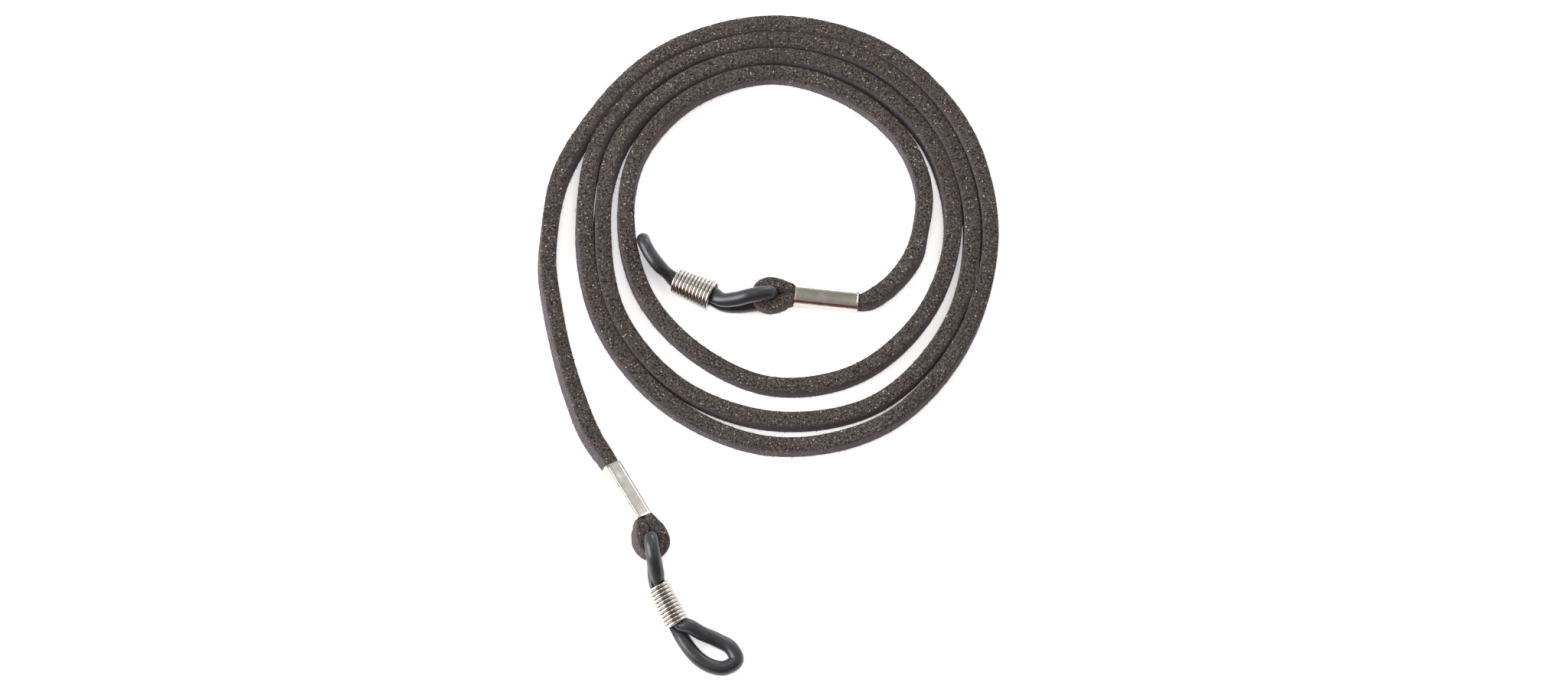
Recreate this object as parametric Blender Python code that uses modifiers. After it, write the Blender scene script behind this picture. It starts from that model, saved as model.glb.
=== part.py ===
"""Eyeglass retainer strap: a flat suede lace laid in an open spiral, with a metal ferrule, a rubber
temple loop and a sliding coil spring at each end.

Metres, +Z up. The lace stands on its narrow edge on a table at z = 0, and the origin is on the table,
under the middle of the end hardware. Sizes and routes below are in millimetres, and the routes are laid
out around the centre of the spiral.
"""

import math

import bmesh
import bpy
from mathutils import Matrix, Vector

MM = 0.001
UP = Vector((0.0, 0.0, 1.0))
TABLE_GAP = 0.03  # under what lies on the table, so that no bend between two points dips below it

# The lace, which stands on edge: its width is upright.
LACE_THICKNESS = 2.0
LACE_WIDTH = 3.0
LACE_CORNER = 0.35
PRESSED_THICKNESS = 1.35  # where it is folded back through a ferrule
PRESSED_WIDTH = 2.9
LAYER_GAP = 0.1  # between the two layers in a ferrule
LACE_STEP = 9.5  # between the points along the spiral
LEAD_STEP = 4.5  # and along the lace's first and last stretch
LEAD_LENGTH = 27.0
FOLD_STEP = 0.9  # between those of its folded ends

# The ferrules: rectangular tubes of folded sheet.
FERRULE_LENGTH = 10.0
FERRULE_WALL = 0.2
FERRULE_CORNER = 0.6
FERRULE_CLEARANCE = 0.1  # to the lace inside
STRAP_IN_FERRULE = 2.6  # how far the strap reaches into its mouth
STRAIGHT_EXIT = 0.6  # and how far it runs straight on outside
STRAP_TO_FOLD = 0.3  # between the strap and the folded end that continues it

# The eye: the folded end of the lace, around the rubber.
EYE_REACH = 3.6  # from the ferrule's mouth to the middle of the rubber in the eye
EYE_SLACK = 0.35  # room between the rubber and the end of the eye
EYE_CLEARANCE = 0.12  # beside, over and under the rubber

RUBBER_DIAMETER = 2.3
RUBBER_STEP = 0.65
STRAND_GAP = 0.05  # between two strands that lie together
RELAX_LENGTH = 1.0  # in which squeezed rubber is back at its own diameter

SPRING_WIRE = 0.56
SPRING_TURN_GAP = 0.05  # from one turn to the next
SPRING_TURNS = 10.5
SPRING_CLEARANCE = 0.05  # from the wire to the squeezed rubber, and to the table
POINTS_PER_TURN = 12

# What follows from those sizes.
RUBBER_RADIUS = RUBBER_DIAMETER / 2
LACE_MIDDLE = LACE_WIDTH / 2 + TABLE_GAP
EYE_MIDDLE = 2 * TABLE_GAP + RUBBER_DIAMETER + EYE_CLEARANCE + PRESSED_WIDTH / 2
EYE_RADIUS = RUBBER_RADIUS + EYE_CLEARANCE + PRESSED_THICKNESS / 2
LEG_RISE = PRESSED_WIDTH / 2 + EYE_CLEARANCE + RUBBER_RADIUS  # of a leg over or under the eye's middle
LAYER_OFFSET = (PRESSED_THICKNESS + LAYER_GAP) / 2
FERRULE_WIDTH = max(2 * PRESSED_THICKNESS + LAYER_GAP, LACE_THICKNESS) + 2 * (
    FERRULE_CLEARANCE + FERRULE_WALL
)
FERRULE_HEIGHT = max(PRESSED_WIDTH, LACE_WIDTH) + 2 * (FERRULE_CLEARANCE + FERRULE_WALL)
SPRING_LENGTH = SPRING_TURNS * (SPRING_WIRE + SPRING_TURN_GAP)
SQUEEZED_PAST = SPRING_WIRE / 2 + RUBBER_STEP  # how far outside a spring its rubber is still squeezed

# The centre of the spiral, seen from the origin.
COIL_CENTRE = Vector((6.0, 37.2, 0.0))

# The spiral from above: the radius of the innermost turn at every 30 degrees from +X on, and the gap
# that each later turn leaves to the one inside it. The last turn ends halfway round.
INNER_TURN = (23.8, 25.7, 25.6, 25.9, 25.2, 24.2, 22.6, 22.4, 23.1, 25.5, 27.2, 28.0)
TURN_GAPS = (
    (2.5, 0.9, 0.6, 0.3, 0.2, 0.8, 1.2, 2.7, 3.6, 3.0, 3.1, 1.9),
    (0.4, 0.0, 0.5, 0.1, 0.4, 0.4, 0.2, 0.0, 0.5, 1.5, 0.9, 0.2),
    (0.2, 0.2, 0.1, 0.1, 0.1, 0.1, 2.9),
)
TURN_PITCH = LACE_THICKNESS + 0.6
# One more point (x, y) near each end of the turns, because the leads' points are much closer together.
FIRST_BEND, LAST_BEND = (24.4, 5.5), (-33.2, 8.3)

# The lace between the spiral and the ferrules: (x, y, how far it is lifted off the table, how many
# degrees its top leans to the left).
INNER_LEAD = ((15.9, -11.6, 0.75, 0.0), (17.8, -10.3, 0.4, 0.0), (20.5, -7.6, 0.1, 0.0), (22.8, -4.0, 0.0, 0.0))
OUTER_LEAD = (
    (-35.0, -6.4, 0.0, 0.0),
    (-34.1, -12.9, 0.0, 0.0),
    (-32.7, -19.6, 0.05, 4.0),
    (-30.6, -26.8, 0.2, 10.0),
    (-27.6, -34.2, 0.6, 14.0),
)

# The two ends. The strap enters a ferrule at its strap mouth, and the eye leaves it at the other one.
# Headings are in degrees from +X, and a ferrule's lean is how many degrees its top leans to the left, seen
# from its strap mouth. A loop's points run from the leg that passes over the eye to the other one, and the
# last value of each is how far the rubber is lifted off the table. The outer spring and loop are laid out
# from the eye. The inner ones are shut in by the spiral: their places are counted from its centre, and the
# loop's are (heading from the centre, distance from the rubber to the innermost turn, lift).
ENDS = {
    "inner": {
        "strap_mouth": (13.8, -12.1),
        "ferrule_heading": 175.4,
        "ferrule_lean": 0.0,
        "eye_heading": 182.0,
        "spring_in_spiral": (-8.95, -11.25),
        "spring_heading": 154.0,
        "spring_lift": 0.7,
        "spring_diameters": (4.5, 4.2),
        "legs_beside": False,
        "loop_in_spiral": (
            (201.6, 1.85, 3.05),
            (196.0, 1.1, 3.4),
            (191.1, 0.6, 3.0),
            (188.7, 0.5, 1.7),
            (190.6, 0.85, 0.5),
            (195.8, 1.65, 0.05),
        ),
    },
    "outer": {
        "strap_mouth": (-24.6, -38.9),
        "ferrule_heading": -59.8,
        "ferrule_lean": 15.0,
        "eye_heading": -70.0,
        "spring_from_eye": (1.0, -7.4),
        "spring_heading": -64.8,
        "spring_lift": 1.1,
        "spring_diameters": (3.9, 4.4),
        "legs_beside": True,
        "loop_from_eye": (
            (7.45, -15.0, 0.35),
            (9.8, -15.9, 0.1),
            (12.05, -17.2, 0.02),
            (13.05, -19.1, 0.0),
            (11.05, -20.45, 0.0),
            (8.95, -20.15, 0.0),
            (7.2, -19.05, 0.0),
            (5.45, -17.3, 0.0),
        ),
    },
}
STRAP_MOUTH_LIFT = 1.1
EYE_MOUTH_DROP = 0.35  # of the ferrule's middle there, under the middle of the eye


def clear_scene():
    for old in list(bpy.data.objects):
        bpy.data.objects.remove(old, do_unlink=True)


def new_collection(name):
    made = bpy.data.collections.new(name)
    bpy.context.scene.collection.children.link(made)
    return made


def new_material(name, colour, roughness, metallic=0.0):
    made = bpy.data.materials.new(name)
    made.use_nodes = True
    shader = made.node_tree.nodes["Principled BSDF"]
    shader.inputs["Base Color"].default_value = (*colour, 1.0)
    shader.inputs["Roughness"].default_value = roughness
    shader.inputs["Metallic"].default_value = metallic
    return made


def level(degrees):
    """The level unit vector at this heading."""
    return Vector((math.cos(math.radians(degrees)), math.sin(math.radians(degrees)), 0.0))


def to_left(way):
    return UP.cross(way).normalized()


def even_steps(start, end, step):
    """Distances from start up to end, without end itself."""
    parts = max(round((end - start) / step), 1)
    return [start + (end - start) * k / parts for k in range(parts)]


def smooth_line(points, step, closed=False, lead_step=None):
    """Points at an even step along a Catmull-Rom curve through the given ones, by the length of its spans.

    A fourth coordinate, such as a radius, is carried along with the place. With lead_step, the
    curve's first and last LEAD_LENGTH take that step.
    """
    count = len(points)
    dense = []
    for span in range(count if closed else count - 1):
        around = [span + k for k in (-1, 0, 1, 2)]
        if closed:
            before, first, last, after = (points[k % count] for k in around)
        else:
            before, first, last, after = (points[min(max(k, 0), count - 1)] for k in around)
        way = last - first
        into, over, out = ((b.xyz - a.xyz).length for a, b in ((before, first), (first, last), (last, after)))
        leave, reach = way, way
        if into:
            leave = way + ((first - before) / into - (last - before) / (into + over)) * over
        if out:
            reach = way + ((after - last) / out - (after - first) / (over + out)) * over
        for k in range(16):
            t = k / 16
            curve = first * (2 * t**3 - 3 * t**2 + 1) + leave * (t**3 - 2 * t**2 + t)
            dense.append(curve + last * (3 * t**2 - 2 * t**3) + reach * (t**3 - t**2))
    dense.append(points[0] if closed else points[-1])
    along = [0.0]
    for a, b in zip(dense, dense[1:]):
        along.append(along[-1] + (b.xyz - a.xyz).length)
    total = along[-1]
    if lead_step:
        places = even_steps(0.0, LEAD_LENGTH, lead_step)
        places += even_steps(LEAD_LENGTH, total - LEAD_LENGTH, step)
        places += even_steps(total - LEAD_LENGTH, total, lead_step)
    else:
        places = even_steps(0.0, total, step)
    if not closed:
        places.append(total)
    line, k = [], 0
    for place in places:
        while k < len(dense) - 2 and along[k + 1] < place:
            k += 1
        share = (place - along[k]) / max(along[k + 1] - along[k], 1e-9)
        line.append(dense[k].lerp(dense[k + 1], min(share, 1.0)))
    return line


def new_curve(name, points, collection, radii=None, leans=None, closed=False):
    """A poly curve through points in millimetres from its own place, with filled caps."""
    data = bpy.data.curves.new(name, "CURVE")
    data.dimensions = "3D"
    data.use_fill_caps = not closed
    spline = data.splines.new("POLY")
    spline.points.add(len(points) - 1)
    for k, point in enumerate(points):
        spline.points[k].co = (*(Vector(point).xyz * MM), 1.0)
        spline.points[k].radius = radii[k] if radii else 1.0
        spline.points[k].tilt = -math.radians(leans[k]) if leans else 0.0
    spline.use_cyclic_u = closed
    spline.use_smooth = True
    made = bpy.data.objects.new(name, data)
    collection.objects.link(made)
    return made


def add_section(name, thickness, width, guides):
    """The lace's section, a rectangle without its corners: a guide that curves take as their bevel."""
    x, y, corner = thickness / 2, width / 2, LACE_CORNER
    quarter = [Vector((x, y - corner, 0.0)), Vector((x - corner, y, 0.0))]
    half = quarter + [Vector((-p.x, p.y, 0.0)) for p in reversed(quarter)]
    guide = new_curve(name, [*reversed(half + [-p for p in half])], guides, closed=True)
    guide.hide_render = True
    guide.display_type = "WIRE"
    return guide


def add_lace(name, line, section, parts, material):
    """A stretch of lace on edge, through points (x, y, z, lean to the left) from the spiral's centre."""
    piece = new_curve(name, line, parts, leans=[p.w for p in line])
    piece.location = COIL_CENTRE * MM
    piece.data.twist_mode = "Z_UP"
    piece.data.bevel_mode = "OBJECT"
    piece.data.bevel_object = section
    piece.data.materials.append(material)
    return piece


def spiral():
    """The route of the turns, from the inside out."""
    turns = [INNER_TURN]
    for gaps in TURN_GAPS:
        turns.append([inside + TURN_PITCH + gap for inside, gap in zip(turns[-1], gaps)])
    radii = [radius for turn in turns for radius in turn]
    points = [level(30 * k) * radius for k, radius in enumerate(radii)]
    points.insert(1, Vector((*FIRST_BEND, 0.0)))
    points.insert(-1, Vector((*LAST_BEND, 0.0)))
    return [with_lean(point + UP * LACE_MIDDLE) for point in points]


def with_lean(point, lean=0.0):
    return Vector((*point, lean))


def lead(points):
    return [Vector((x, y, LACE_MIDDLE + lift, lean)) for x, y, lift, lean in points]


def ferrule_line(end):
    """The middles of a ferrule's two mouths, and the direction from the strap's to the eye's."""
    strap_mouth = Vector((*end["strap_mouth"], LACE_MIDDLE + STRAP_MOUTH_LIFT))
    climb = EYE_MIDDLE - EYE_MOUTH_DROP - strap_mouth.z
    run = math.sqrt(FERRULE_LENGTH**2 - climb**2)
    along = (level(end["ferrule_heading"]) * run + UP * climb) / FERRULE_LENGTH
    return strap_mouth, strap_mouth + along * FERRULE_LENGTH, along


def across_ferrule(end):
    """The directions of a ferrule's width and height, which its lean turns."""
    _, _, along = ferrule_line(end)
    turn = Matrix.Rotation(-math.radians(end["ferrule_lean"]), 3, along)
    return turn @ to_left(along), turn @ along.cross(to_left(along))


def add_strap(section, parts, material):
    first, _, first_along = ferrule_line(ENDS["inner"])
    last, _, last_along = ferrule_line(ENDS["outer"])
    first_lean = -ENDS["inner"]["ferrule_lean"]  # the lace runs out of the inner ferrule the other way
    last_lean = ENDS["outer"]["ferrule_lean"]
    route = [with_lean(first - first_along * STRAIGHT_EXIT, first_lean), *lead(INNER_LEAD)]
    route += [*spiral(), *lead(OUTER_LEAD), with_lean(last - last_along * STRAIGHT_EXIT, last_lean)]
    line = [with_lean(first + first_along * STRAP_IN_FERRULE, first_lean)]
    line += smooth_line(route, LACE_STEP, lead_step=LEAD_STEP)
    line.append(with_lean(last + last_along * STRAP_IN_FERRULE, last_lean))
    return add_lace("strap", line, section, parts, material)


def eye_of(end):
    """The middle of the rubber in the eye, where it swings."""
    mouth = ferrule_line(end)[1]
    pivot = mouth + level(end["eye_heading"]) * EYE_REACH
    pivot.z = EYE_MIDDLE
    return pivot


def add_folded_end(which, end, section, parts, material):
    """The lace's last stretch: two layers in the ferrule, and the eye that they make past its mouth."""
    strap_mouth, eye_mouth, along = ferrule_line(end)
    pivot = eye_of(end)
    out = level(end["eye_heading"])
    bend = pivot + out * EYE_SLACK

    def layer(side):
        beside, across = across_ferrule(end)[0] * side, to_left(out) * side
        lean = end["ferrule_lean"] * side
        start = strap_mouth + along * (STRAP_IN_FERRULE + STRAP_TO_FOLD)
        diagonal = (out + across).normalized()
        return [
            with_lean(start + beside * LAYER_OFFSET, lean),
            with_lean(eye_mouth - along * 2.0 + beside * LAYER_OFFSET, lean),
            with_lean(eye_mouth + along * FOLD_STEP / 2 + beside * LAYER_OFFSET, lean),
            with_lean(pivot - out * EYE_REACH * 0.55 + across * (LAYER_OFFSET + EYE_RADIUS) / 2),
            with_lean(pivot - out * EYE_REACH * 0.2 + across * EYE_RADIUS),
            with_lean(bend + across * EYE_RADIUS),
            with_lean(bend + diagonal * EYE_RADIUS),
        ]

    route = [*layer(1), with_lean(bend + out * EYE_RADIUS), *reversed(layer(-1))]
    return add_lace(f"strap_end_{which}", smooth_line(route, FOLD_STEP), section, parts, material)


def add_ferrule(which, end, parts, material):
    """A rectangular tube: a box with rounded long edges and no ends, which Solidify gives its wall."""
    strap_mouth, eye_mouth, along = ferrule_line(end)
    shape = bmesh.new()
    size = Matrix.Diagonal((FERRULE_WIDTH * MM, FERRULE_HEIGHT * MM, FERRULE_LENGTH * MM, 1.0))
    bmesh.ops.create_cube(shape, size=1.0, matrix=size)
    long_edges = [e for e in shape.edges if abs(e.verts[0].co.z - e.verts[1].co.z) > FERRULE_LENGTH * MM / 2]
    bmesh.ops.bevel(shape, geom=long_edges, offset=FERRULE_CORNER * MM, segments=3, profile=0.5, affect="EDGES")
    mouths = [f for f in shape.faces if abs(f.normal.z) > 0.9]
    bmesh.ops.delete(shape, geom=mouths, context="FACES_ONLY")
    mesh = bpy.data.meshes.new(f"ferrule_{which}")
    shape.to_mesh(mesh)
    shape.free()
    mesh.shade_smooth()
    mesh.set_sharp_from_angle(angle=math.radians(50))
    mesh.materials.append(material)
    ferrule = bpy.data.objects.new(mesh.name, mesh)
    parts.objects.link(ferrule)
    ferrule.location = ((strap_mouth + eye_mouth) / 2 + COIL_CENTRE) * MM
    ferrule.rotation_euler = Matrix((*across_ferrule(end), along)).transposed().to_euler()
    wall = ferrule.modifiers.new("Wall", "SOLIDIFY")
    wall.thickness = FERRULE_WALL * MM
    wall.offset = -1.0
    return ferrule


def spring_line(end):
    """The middles of a spring's two ends, and the direction from the eye's to the temple loop's."""
    last_height = max(end["spring_diameters"]) / 2 + SPRING_CLEARANCE
    climb = end["spring_lift"]
    run = math.sqrt(SPRING_LENGTH**2 - climb**2)
    along = (level(end["spring_heading"]) * run - UP * climb) / SPRING_LENGTH
    if "spring_from_eye" in end:
        place = eye_of(end).xy + Vector(end["spring_from_eye"])
    else:
        place = Vector(end["spring_in_spiral"])
    start = Vector((*place, last_height + climb))
    return start, start + along * SPRING_LENGTH, along


def add_spring(which, end, loop, parts, material):
    """A close-wound coil of wire, which the two legs of the rubber run through."""
    start, _, along = spring_line(end)
    first, last = (diameter / 2 - SPRING_WIRE / 2 for diameter in end["spring_diameters"])
    points = []
    steps = round(SPRING_TURNS * POINTS_PER_TURN)
    for k in range(steps + 1):
        share = k / steps
        radius = first + (last - first) * share
        points.append(level(360 * k / POINTS_PER_TURN) * radius + UP * SPRING_LENGTH * share)
    spring = new_curve(f"coil_spring_{which}", points, parts)
    spring.data.bevel_depth = SPRING_WIRE / 2 * MM
    spring.data.bevel_resolution = 2
    spring.data.materials.append(material)
    spring.parent = loop
    spring.location = (start - eye_of(end)) * MM
    spring.rotation_euler = along.to_track_quat("Z", "Y").to_euler()
    return spring


def squeezed_radius(spring_diameter):
    """The radius of each of two strands that share the inside of the spring."""
    wire_line = (spring_diameter - SPRING_WIRE) / 2 * math.cos(math.pi / POINTS_PER_TURN)
    inside = wire_line - SPRING_WIRE / 2 - SPRING_CLEARANCE
    return (inside - STRAND_GAP / 2) / 2


def innermost_turn(heading):
    """The radius of the innermost turn's inner face at this heading."""
    first = int(heading // 30)
    share = heading / 30 - first
    middle = INNER_TURN[first] * (1 - share) + INNER_TURN[first + 1] * share
    return middle - LACE_THICKNESS / 2


def temple_loop(end):
    """The points of the loop that takes the temple of the glasses."""
    on_table = RUBBER_RADIUS + 2 * TABLE_GAP
    if "loop_from_eye" in end:
        eye = eye_of(end)
        return [Vector((eye.x + x, eye.y + y, on_table + lift)) for x, y, lift in end["loop_from_eye"]]
    points = []
    for heading, distance, lift in end["loop_in_spiral"]:
        radius = innermost_turn(heading) - distance - RUBBER_RADIUS
        points.append(level(heading) * radius + UP * (on_table + lift))
    return points


def add_rubber_loop(which, end, parts, material):
    """A rubber ring: through the eye, over and under its end, side by side through the spring."""
    pivot = eye_of(end)
    start, finish, along = spring_line(end)
    way = Vector((start.x - pivot.x, start.y - pivot.y, 0.0)).normalized()
    eye_end = EYE_SLACK + EYE_RADIUS + PRESSED_THICKNESS / 2
    bend = RUBBER_RADIUS + STRAND_GAP
    pair = to_left(along) if end["legs_beside"] else along.cross(to_left(along))
    full = RUBBER_RADIUS + STRAND_GAP / 2

    def strand(side):
        """From the eye to the far end of the spring, over the eye (side 1) or under it (side -1)."""
        height = UP * LEG_RISE * side
        corner = way * (bend * 0.3) + UP * (LEG_RISE - bend * 0.3) * side
        before = start - along * (SQUEEZED_PAST + RELAX_LENGTH)
        away = (pair + UP).normalized() if end["legs_beside"] else pair
        leg_end = pivot + way * (eye_end + 0.2) + height
        meeting = before + away * full * side
        points = [
            (pivot + UP * (LEG_RISE - bend) * side, RUBBER_RADIUS),
            (pivot + corner, RUBBER_RADIUS),
            (pivot + way * bend + height, RUBBER_RADIUS),
            (leg_end, RUBBER_RADIUS),
            ((leg_end + meeting) / 2, RUBBER_RADIUS),
            (meeting, RUBBER_RADIUS * 0.97),
        ]
        past = SQUEEZED_PAST / SPRING_LENGTH
        for share in (-past, 0.3, 0.7, 1 + past):
            first, last = end["spring_diameters"]
            radius = squeezed_radius(first + (last - first) * share)
            middle = start + along * SPRING_LENGTH * share
            points.append((middle + pair * (radius + STRAND_GAP / 2) * side, radius))
        after = finish + along * (SQUEEZED_PAST + RELAX_LENGTH)
        if not end["legs_beside"]:
            after.z = max(after.z, 2 * TABLE_GAP + full + RUBBER_RADIUS)
        points.append((after + pair * full * side, RUBBER_RADIUS))
        return points

    loop = [(point, RUBBER_RADIUS) for point in temple_loop(end)]
    ring = [(pivot, RUBBER_RADIUS), *strand(1), *loop, *reversed(strand(-1))]
    line = smooth_line([Vector((*(p - pivot), r)) for p, r in ring], RUBBER_STEP, closed=True)
    for point in line:
        point.z = max(point.z, RUBBER_RADIUS + TABLE_GAP - pivot.z)
        point.w = min(point.w, RUBBER_RADIUS)
    piece = new_curve(f"rubber_loop_{which}", line, parts, [p.w / RUBBER_RADIUS for p in line], closed=True)
    piece.location = (pivot + COIL_CENTRE) * MM
    piece.data.bevel_depth = RUBBER_RADIUS * MM
    piece.data.bevel_resolution = 2
    piece.data.materials.append(material)
    return piece


def main():
    clear_scene()
    parts = new_collection("eyeglass_retainer_strap")
    guides = new_collection("guides")
    suede = new_material("dark_brown_suede", (0.055, 0.042, 0.040), 0.95)
    nickel = new_material("nickel_plate", (0.72, 0.71, 0.66), 0.22, 1.0)
    rubber = new_material("black_rubber", (0.022, 0.026, 0.030), 0.42)
    full_section = add_section("lace_section", LACE_THICKNESS, LACE_WIDTH, guides)
    pressed_section = add_section("pressed_section", PRESSED_THICKNESS, PRESSED_WIDTH, guides)
    add_strap(full_section, parts, suede)
    for which, end in ENDS.items():
        add_folded_end(which, end, pressed_section, parts, suede)
        add_ferrule(which, end, parts, nickel)
        loop = add_rubber_loop(which, end, parts, rubber)
        add_spring(which, end, loop, parts, nickel)


main()
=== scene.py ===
"""Eyeglass retainer strap on a white table: a dark brown suede lace laid in an open spiral, with a nickel
ferrule, a black rubber temple loop and a sliding coil spring at each end.

Metres, +Z up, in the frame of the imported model. Sizes are written in millimetres and multiplied by MM.
"""

import math

import bmesh
import bpy
import numpy as np
from mathutils import Matrix, Vector, noise
from mathutils.kdtree import KDTree


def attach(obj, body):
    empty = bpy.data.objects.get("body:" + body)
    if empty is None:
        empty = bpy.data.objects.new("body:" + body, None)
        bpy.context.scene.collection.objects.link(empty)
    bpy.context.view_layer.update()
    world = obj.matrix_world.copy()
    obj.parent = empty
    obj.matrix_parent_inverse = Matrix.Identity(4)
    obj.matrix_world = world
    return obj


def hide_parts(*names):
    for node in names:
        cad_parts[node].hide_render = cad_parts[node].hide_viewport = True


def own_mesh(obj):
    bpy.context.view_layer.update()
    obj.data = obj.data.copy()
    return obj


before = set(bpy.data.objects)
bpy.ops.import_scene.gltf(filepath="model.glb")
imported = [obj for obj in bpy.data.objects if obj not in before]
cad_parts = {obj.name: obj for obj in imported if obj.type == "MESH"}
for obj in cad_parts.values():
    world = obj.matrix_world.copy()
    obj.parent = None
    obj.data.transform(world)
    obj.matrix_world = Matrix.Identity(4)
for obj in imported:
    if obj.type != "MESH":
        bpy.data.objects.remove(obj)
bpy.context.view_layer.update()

MM = 0.001

# ---------------------------------------------------------------------------------------------------
# The camera looks down on the table from the front, through a long lens.

CAMERA_ELEVATION = math.radians(74.0)
CAMERA_HEADING = Vector((0.0, -math.cos(CAMERA_ELEVATION), math.sin(CAMERA_ELEVATION)))
CAMERA_TARGET = Vector((8.28, 18.5, 1.5)) * MM
LENS = 120.0
FIELD_WIDTH = 245.8 * MM  # what the picture takes in from side to side

camera_data = bpy.data.cameras.new("Camera")
camera_data.lens = LENS
camera_data.clip_start = 0.01
camera_data.clip_end = 20.0
camera = bpy.data.objects.new("Camera", camera_data)
bpy.context.scene.collection.objects.link(camera)
camera.location = CAMERA_TARGET + CAMERA_HEADING * (FIELD_WIDTH * LENS / camera_data.sensor_width)
camera.rotation_euler = CAMERA_HEADING.to_track_quat("Z", "Y").to_euler()
bpy.context.scene.camera = camera

# ---------------------------------------------------------------------------------------------------
# The lace is one strip of soft split suede, 3 mm wide and 2 mm thick, that stands on its cut edge. Each end
# is folded back through a ferrule, which presses it thinner, and makes an eye around the rubber.

UP = np.array((0.0, 0.0, 1.0))
SPIRAL_CENTRE = np.array((6.0, 37.2, 0.0))
LACE_THICKNESS, LACE_WIDTH = 2.0, 3.0
PRESSED_THICKNESS, PRESSED_WIDTH = 1.15, 2.4
LAYER_OFFSET = 0.6  # of each pressed layer from the middle of its ferrule
TABLE_GAP = 0.03
FERRULE_LENGTH = 10.0
FOLD_END_INSIDE = 2.9  # where a folded end stops, from the ferrule's strap mouth
STRAP_INSIDE, STRAIGHT_OUTSIDE = 0.9, 0.6  # the lace's points on each side of a mouth
STRAP_MOUTH_HEIGHT, EYE_MOUTH_HEIGHT = 2.63, 3.58  # of the ferrules' middles above the table
EYE_HEIGHT = 3.93
EYE_RADIUS, EYE_THICKNESS, EYE_WIDTH = 1.86, 1.7, 2.9  # of the lace round the rubber
EYE_REACH, EYE_SLACK = 3.6, 0.35
# The two layers between the ferrule and the rubber: share of EYE_REACH, offset sideways, thickness.
EYE_LAYERS = ((0.88, 0.8, 1.5), (0.62, 1.0, 1.95), (0.36, 1.4, 2.0), (0.1, 1.8, 1.75))
LACE_RING = 0.4  # between the rings of the mesh
CURVE_STEPS = 24  # in each span of a smooth curve, before it is divided evenly

# The spiral's turns, counter-clockwise from the inside out, as in the design.
INNER_TURN = (23.8, 25.7, 25.6, 25.9, 25.2, 24.2, 22.6, 22.4, 23.1, 25.5, 27.2, 28.0)
TURN_GAPS = (
    (2.5, 0.9, 0.6, 0.3, 0.2, 0.8, 1.2, 2.7, 3.6, 3.0, 3.1, 1.9),
    (0.4, 0.0, 0.5, 0.1, 0.4, 0.4, 0.2, 0.0, 0.5, 1.5, 0.9, 0.2),
    (0.2, 0.2, 0.1, 0.1, 0.1, 0.1, 2.9),
)
TURN_PITCH = 2.6
# One more point (x, y) near each end of the turns, because the leads' points are much closer together.
FIRST_BEND, LAST_BEND = (24.4, 5.5), (-33.2, 8.3)
# How many degrees the lace's top leans inwards, at every 30 degrees of a turn. The nap makes the free
# lace look a little thicker than the leather in it.
TURN_LEANS = (-6.0, -14.0, -8.0, 0.0, -6.0, -14.0, 10.0, 9.0, 6.0, 5.0, 5.0, 3.0)
INNER_TURN_LEAN = 0.6  # how much of that the innermost turn does
LAST_BEND_LEAN, LAST_TURN_LEAN = -6.0, 8.0
NAPPED_THICKNESS = 2.56

# (x, y, lift off the table, lean)
INNER_LEAD = (
    (15.9, -11.6, 0.75, 2.0),
    (17.8, -10.3, 0.4, 5.0),
    (20.5, -7.6, 0.1, 8.0),
    (22.8, -4.0, 0.0, 11.0),
)
OUTER_LEAD = (
    (-35.0, -6.4, 0.0, 14.0),
    (-34.1, -12.9, 0.0, 18.0),
    (-32.7, -19.6, 0.05, 20.0),
    (-30.6, -26.8, 0.2, 21.0),
    (-27.6, -34.2, 0.6, 19.0),
)

# Each ferrule from its strap mouth to its eye mouth, and the way that the eye points from there.
ENDS = {
    "inner": {"strap_mouth": (13.8, -12.1), "heading": 175.4, "lean": 0.0, "eye_heading": 182.0},
    "outer": {"strap_mouth": (-24.6, -38.9), "heading": -59.8, "lean": 19.0, "eye_heading": -70.0},
}


def level(degrees):
    """The level unit vector at this heading."""
    return np.array((math.cos(math.radians(degrees)), math.sin(math.radians(degrees)), 0.0))


def leaned(along, degrees):
    """The directions to the left of along and over it, once the top leans to the left."""
    left = np.cross(UP, along)
    left /= np.linalg.norm(left)
    over = np.cross(along, left)
    c, s = math.cos(math.radians(degrees)), math.sin(math.radians(degrees))
    return left * c - over * s, over * c + left * s


for end in ENDS.values():
    end["mouth"] = np.array((*end["strap_mouth"], STRAP_MOUTH_HEIGHT))
    climb = EYE_MOUTH_HEIGHT - STRAP_MOUTH_HEIGHT
    run = math.sqrt(FERRULE_LENGTH**2 - climb**2)
    end["along"] = (level(end["heading"]) * run + UP * climb) / FERRULE_LENGTH
    end["eye_mouth"] = end["mouth"] + end["along"] * FERRULE_LENGTH
    end["left"], end["over"] = leaned(end["along"], end["lean"])
    end["out"] = level(end["eye_heading"])
    end["pivot"] = end["eye_mouth"] + end["out"] * EYE_REACH
    end["pivot"][2] = EYE_HEIGHT


def lace_row(place, lean, thickness=NAPPED_THICKNESS, width=LACE_WIDTH):
    return np.array((*place, lean, thickness, width))


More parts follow.
